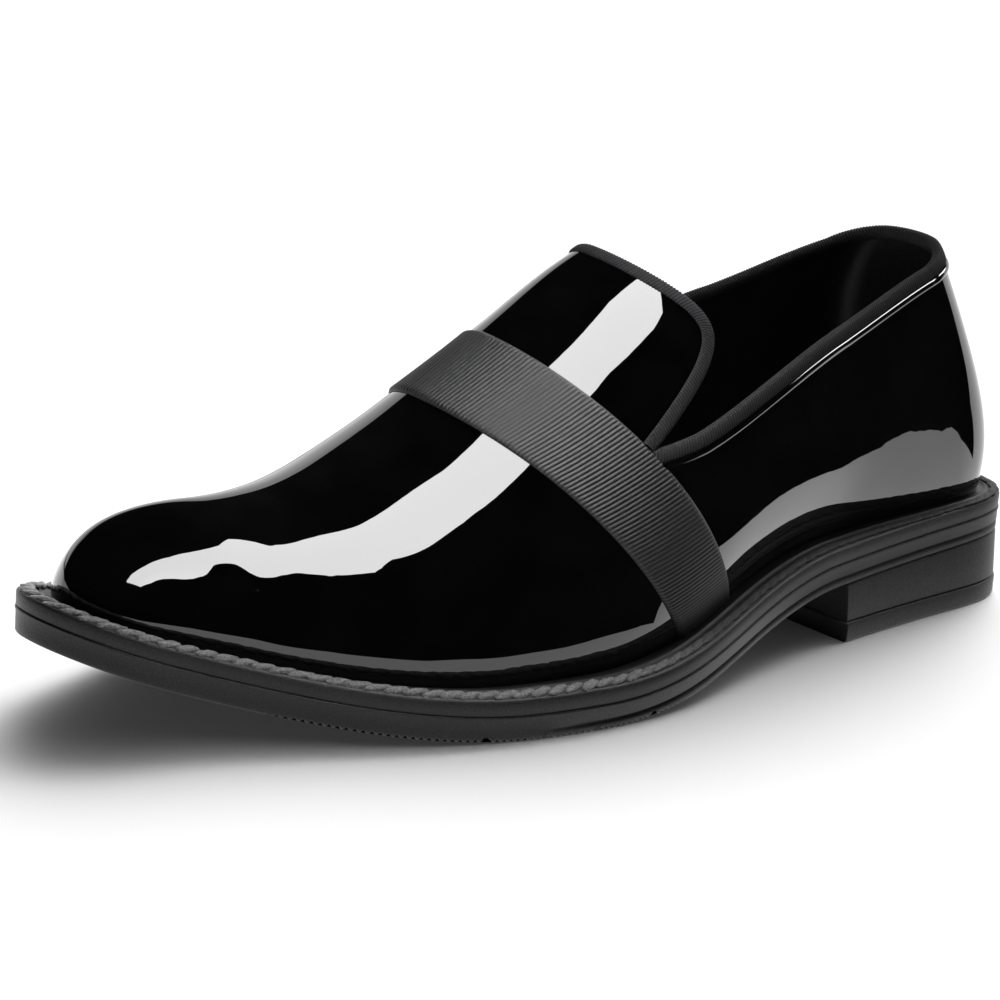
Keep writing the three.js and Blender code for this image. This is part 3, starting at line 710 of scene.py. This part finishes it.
blockFlare = flare * heelLook["blockFlare"]
blockProfile = [
    (blockFlare - 0.5, flat(liftTop)), (blockFlare - 0.15, flat(liftTop + 0.25)),
    (blockFlare, flat(liftTop + 0.7)), (0.1, above(-heelLook["seat"] - 1)),
    (-0.1, above(-heelLook["seat"] - 0.45)), (-0.6, seatBelow),
]
rows = [heelRow(outset, level) for outset, level in blockProfile]
ringPiece("heelBlock", rubber, "sole_rubber", "heel_block", rows, flat(liftTop), seatBelow, heelColumns)
print("sole unit ready")

# Insole
sockLook = {
    "stations": 260,
    "gap": 0.9,              # from the upper's inside
    "profile": [(0, 0), (0, 2.1), (0.3, 2.9), (1, 3.4), (2, 3.5)],   # inset, rise over the insole's foot
}


def seatRow(inset, rise):
    whole = shoe["wall"] + sockLook["gap"] + inset
    back, front = sole["marginHeel"] + whole, toeEnd - whole
    ring = ringOf(lambda x: seatHalf(x, whole), back, front, sockLook["stations"])
    return np.column_stack([ring, weltTop(ring[:, 0]) + sole["fit"] + rise])


def sockLevel(rise):
    return lambda x: weltTop(x) + sole["fit"] + rise


rows = [seatRow(inset, rise) for inset, rise in sockLook["profile"]]
top = sockLook["profile"][-1][1]
ringPiece("sock", liningLeather, "insole_leather", "insole", rows, sockLevel(0), sockLevel(top))

# Strap
strapLook = {
    "width": 23.5,
    "foot": 147.0,
    "sweep": 50.0,
    "thickness": 0.95,
    "seat": 0.1,             # from the upper to the strap's underside
    "edge": 0.5,             # width over which its edges round off
    "ribPitch": 1.15,
    "ribDepth": 0.3,
    "ribEase": 0.8,
    "perRib": 6,
    "columns": 24,
}


def strapPath(t, back):
    return strapLook["foot"] + strapLook["sweep"] * strapCurve(t) - back - pivot


# Points on the upper under the strap, its normals there, the way along it and the way across it
def strapGrid():
    look = strapLook
    fine = np.linspace(0, 1, 801)
    halves = []
    for side in (1, -1):
        run = runOf(skin(side, strapPath(fine, look["width"] / 2), fine))
        steps = int(run[-1] / look["ribPitch"] * look["perRib"])
        even = np.linspace(0, run[-1], steps + 1)
        halves.append((np.interp(even, run, fine), even))
    backs = np.linspace(0, look["width"], look["columns"] + 1)
    grids, normals, alongs = [], [], []
    for side, (t, run) in zip((1, -1), halves):
        u = strapPath(t[:, None], backs[None, :])
        level = np.broadcast_to(t[:, None], u.shape)
        grids.append(skin(side, u, level))
        normals.append(skinNormal(side, u, level))
        alongs.append(run if side > 0 else halves[0][1][-1] + halves[1][1][-1] - run)
    grid = np.concatenate([grids[0], grids[1][-2::-1]])
    normal = np.concatenate([normals[0], normals[1][-2::-1]])
    along = np.concatenate([alongs[0], alongs[1][-2::-1]])
    return grid, normal, along, backs


def makeStrap():
    look = strapLook
    grid, normal, along, backs = strapGrid()
    crest = np.abs(np.cos(math.pi * along / look["ribPitch"])) ** look["ribEase"]
    inward = np.minimum(backs, look["width"] - backs)
    rounded = np.sqrt(np.clip(inward / look["edge"], 0, 1))
    lift = (look["thickness"] + look["ribDepth"] * (crest[:, None] - 1)) * rounded[None, :]
    top = grid + normal * (look["seat"] + 0.02 + lift)[..., None]
    bottom = grid + normal * look["seat"]
    shell = np.concatenate([top, bottom[:, ::-1]], 1)
    shell = np.concatenate([shell, shell[:, :1]], 1)
    # Painted light: the colour is lighter on the rib crests as highlight and darker in the grooves as shade
    lit = np.broadcast_to(crest[:, None], shell.shape[:2]).reshape(-1)
    points, faces, first = weld([shell])
    return fitPiece(buildMesh("ribbonStrap", points, faces, grosgrain, lit[first]), "grosgrain", "strap")


makeStrap()
print("strap ready")

# Bindings
bindingLook = {
    "leg": 3.4,              # how far it reaches down each side of the leather
    "lift": 0.5,
    "ribPitch": 0.9,
    "ribDepth": 0.15,
    "perRib": 6,
    "slant": 0.35,
    "heelStations": 120,
    "flankStations": 280,
    "tongueStations": 400,
    "tongueEase": 1.5,       # stations closer together near the V
}


# Even steps along an edge of the upper, with the ways out of the leather and into it from the edge
def alongEdge(places, step):
    edgePoints = np.concatenate([skin(side, u, t) for side, u, t in places])
    normals = np.concatenate([skinNormal(side, u, t) for side, u, t in places])
    run = runOf(edgePoints)
    even = np.linspace(0, run[-1], int(run[-1] / step) + 1)
    centre = evenLine(edgePoints, even)
    normal = np.stack([np.interp(even, run, normals[:, i]) for i in range(3)], -1)
    along = np.gradient(centre, axis=0)
    along /= np.linalg.norm(along, axis=1, keepdims=True)
    inner = np.cross(along, normal)
    inner /= np.linalg.norm(inner, axis=1, keepdims=True)
    normal = np.cross(inner, along)
    normal /= np.linalg.norm(normal, axis=1, keepdims=True)
    return even, centre, normal, inner


def bindingSweep(name, node, places):
    look = bindingLook
    even, centre, normal, inner = alongEdge(places, look["ribPitch"] / look["perRib"])
    wall, lift, leg = shoe["wall"], look["lift"], look["leg"]
    # out from the leather, down from its edge
    outerSide = [(0.02, leg), (lift * 0.6, leg - 0.1), (lift, leg - 0.5), (lift * 1.2, leg * 0.6),
                 (lift * 1.2, leg * 0.35), (lift * 0.9, 0.5), (lift * 0.45, -0.05), (-wall * 0.25, -0.4)]
    innerSide = [(-wall - out, down) for out, down in outerSide[::-1]]
    rows, crestLight = [], []
    for out, down in outerSide + [(-wall * 0.5, -0.48)] + innerSide:
        wave = np.cos(2 * math.pi * (even + look["slant"] * down) / look["ribPitch"])
        swell = look["ribDepth"] * wave[:, None]
        row = centre + normal * out + inner * down
        rows.append(row + normal * swell * np.sign(out + wall / 2) if down > 0 else row - inner * swell)
        # Painted light: the colour is lighter on the rib crests as highlight and darker between them as shade
        crestLight.append((wave + 1) / 2)
    grid = np.stack(rows + rows[:1], 1)
    lit = np.stack(crestLight + crestLight[:1], 1).reshape(-1)
    points, faces, first = weld([grid])
    return fitPiece(buildMesh(name, points, faces, knit, lit[first]), "knit_binding", node)


# Rounded fold of the leather where it dives under the collar's binding
foldLook = {
    "down": 4.3,             # from the edge to its middle
    "half": 1.0,
    "rise": 0.8,
    "sink": 0.3,
    "step": 1.0,
    "corners": 9,
}


def makeFold(places):
    look = foldLook
    _, centre, normal, inner = alongEdge(places, look["step"])
    turns = np.linspace(0, math.pi, look["corners"])
    middle = centre + inner * look["down"]
    rows = [middle + normal * (look["rise"] * math.sin(turn)) + inner * (look["half"] * math.cos(turn))
            for turn in turns]
    rows.append(middle - normal * look["sink"])
    points, faces, _ = weld([np.stack(rows + rows[:1], 1)])
    return fitPiece(buildMesh("collarFold", points, faces, patent), "patent_leather")


def makeBindings():
    rearU = np.concatenate([np.linspace(-1, 0, bindingLook["heelStations"], endpoint=False),
                            np.linspace(0, notchU, bindingLook["flankStations"])])
    collar = []
    for side in (1, -1):
        t = collarT(side, rearU)
        t[-1] = notchT
        collar.append((side, rearU[::-1] if side > 0 else rearU[1:], t[::-1] if side > 0 else t[1:]))
    bindingSweep("collarBinding", "collar_binding", collar)
    makeFold(collar)
    u, t = tongueEdge(np.linspace(0, 1, bindingLook["tongueStations"]) ** bindingLook["tongueEase"])
    bindingSweep("tongueBinding", "tongue_binding", [(-1, u, t), (1, u[::-1][1:], t[::-1][1:])])


makeBindings()
print("bindings ready")

# Rope stitch on the welt, plain lumps that overlap
ropeLook = {
    "pitch": 4.7,
    "length": 8.0,
    "width": 2.7,
    "height": 1.05,
    "rise": 0.3,             # over the welt
    "yaw": 26.0,             # degrees from the edge's direction
    "yawSpread": 4.0,
    "inset": 0.29,           # share of the margin
    "spread": (0.06, 0.08, 0.1),   # of length, width and height
    "crumple": 0.12,
    "from": 130.0,           # behind here it is lower and its colour painted darker as shade, over the fade in front it grows
    "fade": 60.0,
    "rearShare": 0.35,
    # the colour kept at the back, a painted shade on the same rubber
    "rearPaintedShade": 0.15,
    "rings": 9,
    "turns": 14,
    "seed": 7,
}


def lumpPoints(spot, axes, size):
    look = ropeLook
    points = []
    for i in range(1, look["rings"]):
        polar = math.pi * i / look["rings"]
        for j in range(look["turns"]):
            turn = 2 * math.pi * j / look["turns"]
            girth = math.sin(polar)
            away = np.array([math.cos(polar), girth * math.cos(turn), girth * math.sin(turn)])
            swell = random.uniform(1 - look["crumple"], 1 + look["crumple"])
            points.append(spot + (away * swell * size) @ axes)
    return points + [spot + axes[0] * size[0], spot - axes[0] * size[0]]


def lumpFaces(start):
    rings, turns = ropeLook["rings"], ropeLook["turns"]
    last = start + (rings - 2) * turns
    front, back = last + turns, last + turns + 1
    sides = [(j, (j + 1) % turns) for j in range(turns)]
    faces = [(ring + j, ring + k, ring + turns + k, ring + turns + j)
             for ring in range(start, last, turns) for j, k in sides]
    for j, k in sides:
        faces.append((front, start + k, start + j, start + j))
        faces.append((back, last + j, last + k, last + k))
    return faces


def makeRope():
    look = ropeLook
    random.seed(look["seed"])
    path = rimRow(marginShare(look["inset"]), weltLevel(sole["welt"] + look["rise"]))
    closed = np.concatenate([path, path[:1]])
    whole = runOf(closed)[-1]
    lumps = round(whole / look["pitch"])
    places = np.arange(lumps) * whole / lumps
    spots, nexts = evenLine(closed, places), evenLine(closed, (places + 1) % whole)
    points, faces, paintedShade = [], [], []
    for spot, ahead in zip(spots, nexts):
        along = (ahead - spot) / np.linalg.norm(ahead - spot)
        across = np.cross((0, 0, 1), along)
        across /= np.linalg.norm(across)
        forward = smooth(min(max((spot[0] - look["from"]) / look["fade"], 0), 1))
        share = mix(look["rearShare"], 1, forward)
        yaw = math.radians(look["yaw"] + random.uniform(-1, 1) * look["yawSpread"]) * share
        axes = np.array([along * math.cos(yaw) + across * math.sin(yaw),
                         across * math.cos(yaw) - along * math.sin(yaw), np.cross(along, across)])
        scale = [random.uniform(1 - spread, 1 + spread) for spread in look["spread"]]
        size = np.array([look["length"] / 2, look["width"] / 2, look["height"] * share]) * scale
        faces += lumpFaces(len(points))
        lump = lumpPoints(spot, axes, size)
        points += lump
        # Painted shade: the lumps' colour is darker towards the heel
        paintedShade += [mix(look["rearPaintedShade"], 1, forward)] * len(lump)
    rope = buildMesh("ropeStitch", np.array(points), np.array(faces), ropeRubber, paintedShade)
    return fitPiece(rope, "welt_rubber")


makeRope()
print("rope stitch ready")

# Backstay keeps its solid and gets its finish
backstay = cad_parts["backstay"]
backstay.data.materials.clear()
backstay.data.materials.append(patent)

# Floor, camera and lights
view = {
    "lens": 116.42,
    "azimuth": 137.689,
    "elevation": 16.653,
    "roll": 4.565,
    "distance": 0.851,
    "target": (152.0, 0.0, 40.0),
    "shift": (-0.0511, -0.0019),
}

# Metres. The cards show only as reflections. The softbox and the sweep lie on planes of their own,
# so their corners count from a place on the plane, across it and along it.
studio = {
    "floorSize": 14.0,
    "floorTone": 0.86,
    "sky": 0.08,             # evenly from everywhere
    "skyBeam": 13.0,         # on top of it, from above and behind
    "skyToward": (-0.62, -0.42, 0.66),
    "skyEase": 13.0,         # higher is narrower
    "lampPower": 2.0,
    "lampSize": 1.6,
    "lampPlace": (-0.3, 0.0, 1.6),
    "softboxGlow": 18.0,
    "softboxPlace": (0.0572, 0.0907, 0.16),
    "softboxAcross": (0.8953, 0.2216, -0.3864),
    "softboxAlong": (0.0, 0.8674, 0.4975),
    "softbox": [(0.1, -0.095), (0.108, -0.096), (0.11, -0.094), (0.106, 0.015), (0.09, 0.066),
                (0.087, 0.067), (0.078, 0.063), (0.07, 0.038), (0.054, -0.019), (0.052, -0.021),
                (0.04, -0.026), (0.031, -0.006), (0.024, -0.022), (0.001, -0.005), (-0.009, -0.005),
                (-0.054, -0.016), (-0.087, -0.008), (-0.096, -0.015), (-0.095, -0.07), (-0.065, -0.078),
                (0.023, -0.081), (0.033, -0.081), (0.041, -0.071), (0.07, -0.066)],
    "edgeGlow": 18.0,
    "edgeCard": [(-1.5, -0.35, 1.2), (-0.72, -0.35, 1.2), (-0.72, 0.12, 1.2), (-1.5, 0.12, 1.2)],
    "tableGlow": 2.0,
    "table": [(-0.3, -0.6), (0.6, -0.6), (0.45, 0.1), (0.16, 0.26), (0.06, 0.15), (-0.03, 0.09)],
    "sweepGlow": 2.0,
    "sweepPlace": (-0.7049, 0.2328, -0.4291),
    "sweepAcross": (-0.43, 0.9028, 0.0),
    "sweepAlong": (0.2878, 0.1371, 0.9478),
    "sweep": [(0.447, -0.475), (0.882, -0.027), (0.866, 0.063), (0.352, 0.314), (0.219, 0.275),
              (-0.094, 0.305), (-0.071, 0.464), (-0.277, 0.669), (-0.678, 0.604), (-0.83, 0.301),
              (-0.499, -0.337)],
    "wallGlow": 1.5,
    "wall": [(-1.5, 0.35), (-1.3, -0.5), (-0.8, -1.1), (-0.1, -1.4), (0.7, -1.3)],
    "wallHeight": 1.1,
    "cloud": 0.15,           # the cards glow unevenly by this share
    "cloudScale": 4.0,
}


def placeCamera():
    a, e, r = (math.radians(view[key]) for key in ("azimuth", "elevation", "roll"))
    back = Vector((math.sin(a) * math.cos(e), -math.cos(a) * math.cos(e), math.sin(e)))
    right = (-back).cross(Vector((0, 0, 1))).normalized()
    up = right.cross(-back)
    rolledRight = right * math.cos(r) + up * math.sin(r)
    rolledUp = up * math.cos(r) - right * math.sin(r)
    target = (Vector(view["target"]) - Vector(shoe["shift"])) * 0.001
    data = bpy.data.cameras.new("camera")
    data.lens = view["lens"]
    data.sensor_width = 36
    data.shift_x, data.shift_y = view["shift"]
    camera = bpy.data.objects.new("camera", data)
    turn = Matrix((rolledRight, rolledUp, back)).transposed().to_4x4()
    camera.matrix_world = Matrix.Translation(target + back * view["distance"]) @ turn
    bpy.context.scene.collection.objects.link(camera)
    bpy.context.scene.camera = camera


placeCamera()


def glowing(name, glow):
    material = bpy.data.materials.new(name)
    material.use_nodes = True
    tree = material.node_tree
    tree.nodes.clear()
    lamp = tree.nodes.new("ShaderNodeEmission")
    spot = addNode(material, "ShaderNodeTexCoord")
    cloud = addNode(material, "ShaderNodeTexNoise", Scale=studio["cloudScale"], Detail=1)
    power = addNode(material, "ShaderNodeMapRange")
    power.inputs["To Min"].default_value = glow * (1 - studio["cloud"])
    power.inputs["To Max"].default_value = glow * (1 + studio["cloud"])
    link(material, spot.outputs["Object"], cloud.inputs["Vector"])
    link(material, cloud.outputs["Fac"], power.inputs["Value"])
    link(material, power.outputs["Result"], lamp.inputs["Strength"])
    out = tree.nodes.new("ShaderNodeOutputMaterial")
    tree.links.new(lamp.outputs["Emission"], out.inputs["Surface"])
    return material


def card(name, corners, glow):
    mesh = bpy.data.meshes.new(name)
    mesh.from_pydata([Vector(corner) for corner in corners], [], [range(len(corners))])
    piece = bpy.data.objects.new(name, mesh)
    bpy.context.scene.collection.objects.link(piece)
    mesh.materials.append(glowing(name, glow))
    piece.visible_camera = False
    piece.visible_shadow = False
    piece.visible_diffuse = False


def makeSky():
    world = bpy.data.worlds.new("studio")
    world.use_nodes = True
    tree = world.node_tree
    background = tree.nodes["Background"]
    background.inputs["Color"].default_value = (1, 1, 1, 1)
    spot = tree.nodes.new("ShaderNodeTexCoord")
    toward = tree.nodes.new("ShaderNodeVectorMath")
    toward.operation = "DOT_PRODUCT"
    toward.inputs[1].default_value = Vector(studio["skyToward"]).normalized()
    tree.links.new(spot.outputs["Generated"], toward.inputs[0])
    value = toward.outputs["Value"]
    for operation, number in (("MAXIMUM", 0), ("POWER", studio["skyEase"]), ("MULTIPLY", studio["skyBeam"]),
                              ("ADD", studio["sky"])):
        step = tree.nodes.new("ShaderNodeMath")
        step.operation = operation
        step.inputs[1].default_value = number
        tree.links.new(value, step.inputs[0])
        value = step.outputs["Value"]
    tree.links.new(value, background.inputs["Strength"])
    world.cycles_visibility.glossy = False
    bpy.context.scene.world = world


def makeStudio():
    floorMaterial, _ = newMaterial("floor", (studio["floorTone"],) * 3, 0.95)
    half = studio["floorSize"] / 2
    mesh = bpy.data.meshes.new("floor")
    corners = [(-half, -half, 0), (half, -half, 0), (half, half, 0), (-half, half, 0)]
    mesh.from_pydata(corners, [], [range(4)])
    floor = bpy.data.objects.new("floor", mesh)
    bpy.context.scene.collection.objects.link(floor)
    mesh.materials.append(floorMaterial)
    floor.visible_glossy = False
    for name in ("softbox", "sweep"):
        origin, across, along = (Vector(studio[name + key]) for key in ("Place", "Across", "Along"))
        card(name, [origin + across * u + along * v for u, v in studio[name]], studio[name + "Glow"])
    card("edgeLight", studio["edgeCard"], studio["edgeGlow"])
    card("table", [(x, y, -0.001) for x, y in studio["table"]], studio["tableGlow"])
    wall, top = studio["wall"], studio["wallHeight"]
    for i in range(len(wall) - 1):
        (x0, y0), (x1, y1) = wall[i], wall[i + 1]
        card(f"wall{i + 1}", [(x0, y0, 0), (x1, y1, 0), (x1, y1, top), (x0, y0, top)], studio["wallGlow"])
    lamp = bpy.data.lights.new("lamp", "AREA")
    lamp.shape = "DISK"
    lamp.size = studio["lampSize"]
    lamp.energy = studio["lampPower"]
    holder = bpy.data.objects.new("lamp", lamp)
    holder.location = studio["lampPlace"]
    holder.visible_glossy = False
    bpy.context.scene.collection.objects.link(holder)
    makeSky()


makeStudio()
bpy.context.scene.view_settings.view_transform = "Standard"
print("stage ready")
